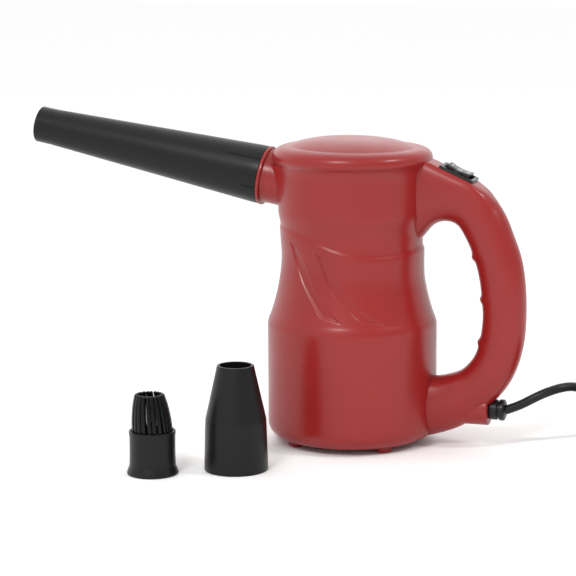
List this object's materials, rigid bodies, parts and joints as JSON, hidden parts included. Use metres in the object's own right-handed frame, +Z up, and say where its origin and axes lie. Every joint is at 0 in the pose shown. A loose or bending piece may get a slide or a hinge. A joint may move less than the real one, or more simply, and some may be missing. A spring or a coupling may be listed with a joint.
{
  "type": "car dryer blower",
  "caption": "Hand-held electric blower with a loop handle, rocker switch, long tapered nozzle, power cord and two loose push-on nozzles.",
  "frame": {"origin": "on the vertical axis of the body, in the plane of the surface that the four feet stand on", "axes": "+Z up along the body and motor axis, the outlet points along -X, the handle is on +X, and the housing halves meet on the plane y = 0"},
  "size_m": [0.5573, 0.2602, 0.2513],
  "materials": {
    "red_shell": "satin",
    "black_plastic": "satin",
    "cord_rubber": "matte",
    "soft_mount": "matte",
    "foam": "open-cell foam",
    "steel": "plain",
    "zinc_screw": "zinc plated",
    "aluminium": "plain",
    "copper": "enamelled copper",
    "brass": "plain",
    "carbon": "graphite",
    "bristle": "satin"
  },
  "bodies": {
    "blower": {"housing_left": "red_shell", "housing_right": "red_shell", "top_cover": "red_shell", "outlet_spigot": "red_shell", "intake_cover": "red_shell", "intake_screws": "zinc_screw", "foam_filter": "foam", "filter_grid": "black_plastic", "lower_mount": "soft_mount", "fan_cover": "steel", "fan_base": "aluminium", "stator_core": "steel", "field_coils": "copper", "end_bracket": "aluminium", "motor_screws": "zinc_screw", "lower_bearing": "steel", "upper_bearing": "steel", "brush_holders": "brass", "carbon_brushes": "carbon", "brush_springs": "steel", "upper_mount": "soft_mount", "motor_carrier": "black_plastic", "switch_frame": "black_plastic", "switch_terminals": "brass", "supply_wires": "cord_rubber", "motor_wires": "cord_rubber", "cord_clamp": "black_plastic", "clamp_screws": "zinc_screw", "housing_screws": "zinc_screw", "cord_bushing": "cord_rubber", "cord_tail": "cord_rubber", "power_cord": "cord_rubber", "cord_coil": "cord_rubber", "plug_body": "cord_rubber", "plug_blades": "brass"},
    "rotor": {"shaft": "steel", "impeller": "aluminium", "impeller_nut": "steel", "armature_core": "steel", "armature_windings": "copper", "commutator": "copper"},
    "rocker": {"rocker": "black_plastic"},
    "long_nozzle": {"long_nozzle": "black_plastic"},
    "cone_nozzle": {"cone_nozzle": "black_plastic"},
    "brush_nozzle": {"brush_collar": "black_plastic", "brush_tines": "bristle"}
  },
  "joints": [
    {"name": "rotor_spin", "type": "hinge", "parent": "blower", "child": "rotor", "pos_m": [0, 0, 0.08], "axis": [0, 0, 1], "continuous": true},
    {"name": "rocker_tilt", "type": "hinge", "parent": "blower", "child": "rocker", "pos_m": [0.08198, 0, 0.20732], "axis": [0, 1, 0], "range_deg": [-12, 12]},
    {"name": "nozzle_pull", "type": "slide", "parent": "blower", "child": "long_nozzle", "axis": [-0.9836, 0, 0.1805], "range_m": [0, 0.06]},
    {"name": "cone_lift", "type": "slide", "parent": "blower", "child": "cone_nozzle", "axis": [0, 0, 1], "range_m": [0, 0.1]},
    {"name": "brush_lift", "type": "slide", "parent": "blower", "child": "brush_nozzle", "axis": [0, 0, 1], "range_m": [0, 0.1]}
  ]
}
